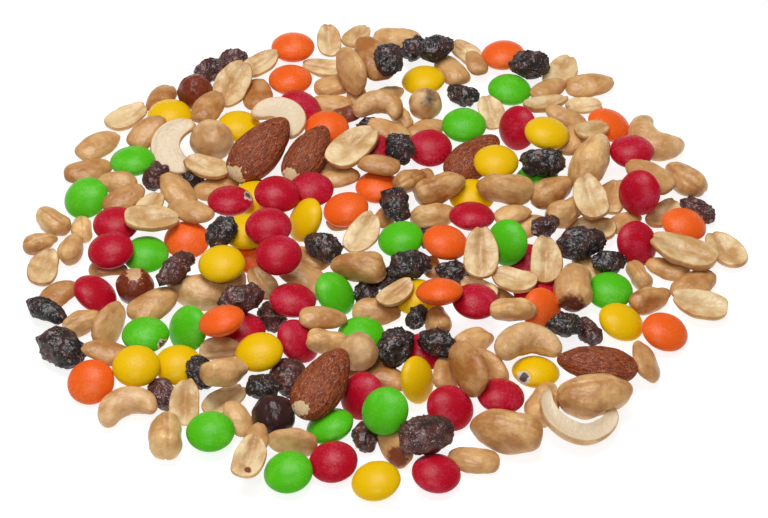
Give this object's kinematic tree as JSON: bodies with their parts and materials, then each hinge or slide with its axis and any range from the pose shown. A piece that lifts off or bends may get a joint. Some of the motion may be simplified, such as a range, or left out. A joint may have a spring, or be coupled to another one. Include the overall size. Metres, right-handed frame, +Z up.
{
  "type": "heap of trail mix",
  "caption": "Loose, nearly round heap of trail mix, one to three pieces deep: coated chocolate lentils, raisins, almonds, cashews, hazelnuts and peanuts.",
  "frame": {"origin": "on the flat underside, under the middle of the heap, at the height of the table", "axes": "+Z up from the table, +X to the right and -Y towards the viewer of the picture"},
  "size_m": [0.2137, 0.2063, 0.0192],
  "materials": {
    "trail_mix": "satin"
  },
  "bodies": {
    "root": {"trail_mix": "trail_mix"}
  },
  "joints": []
}
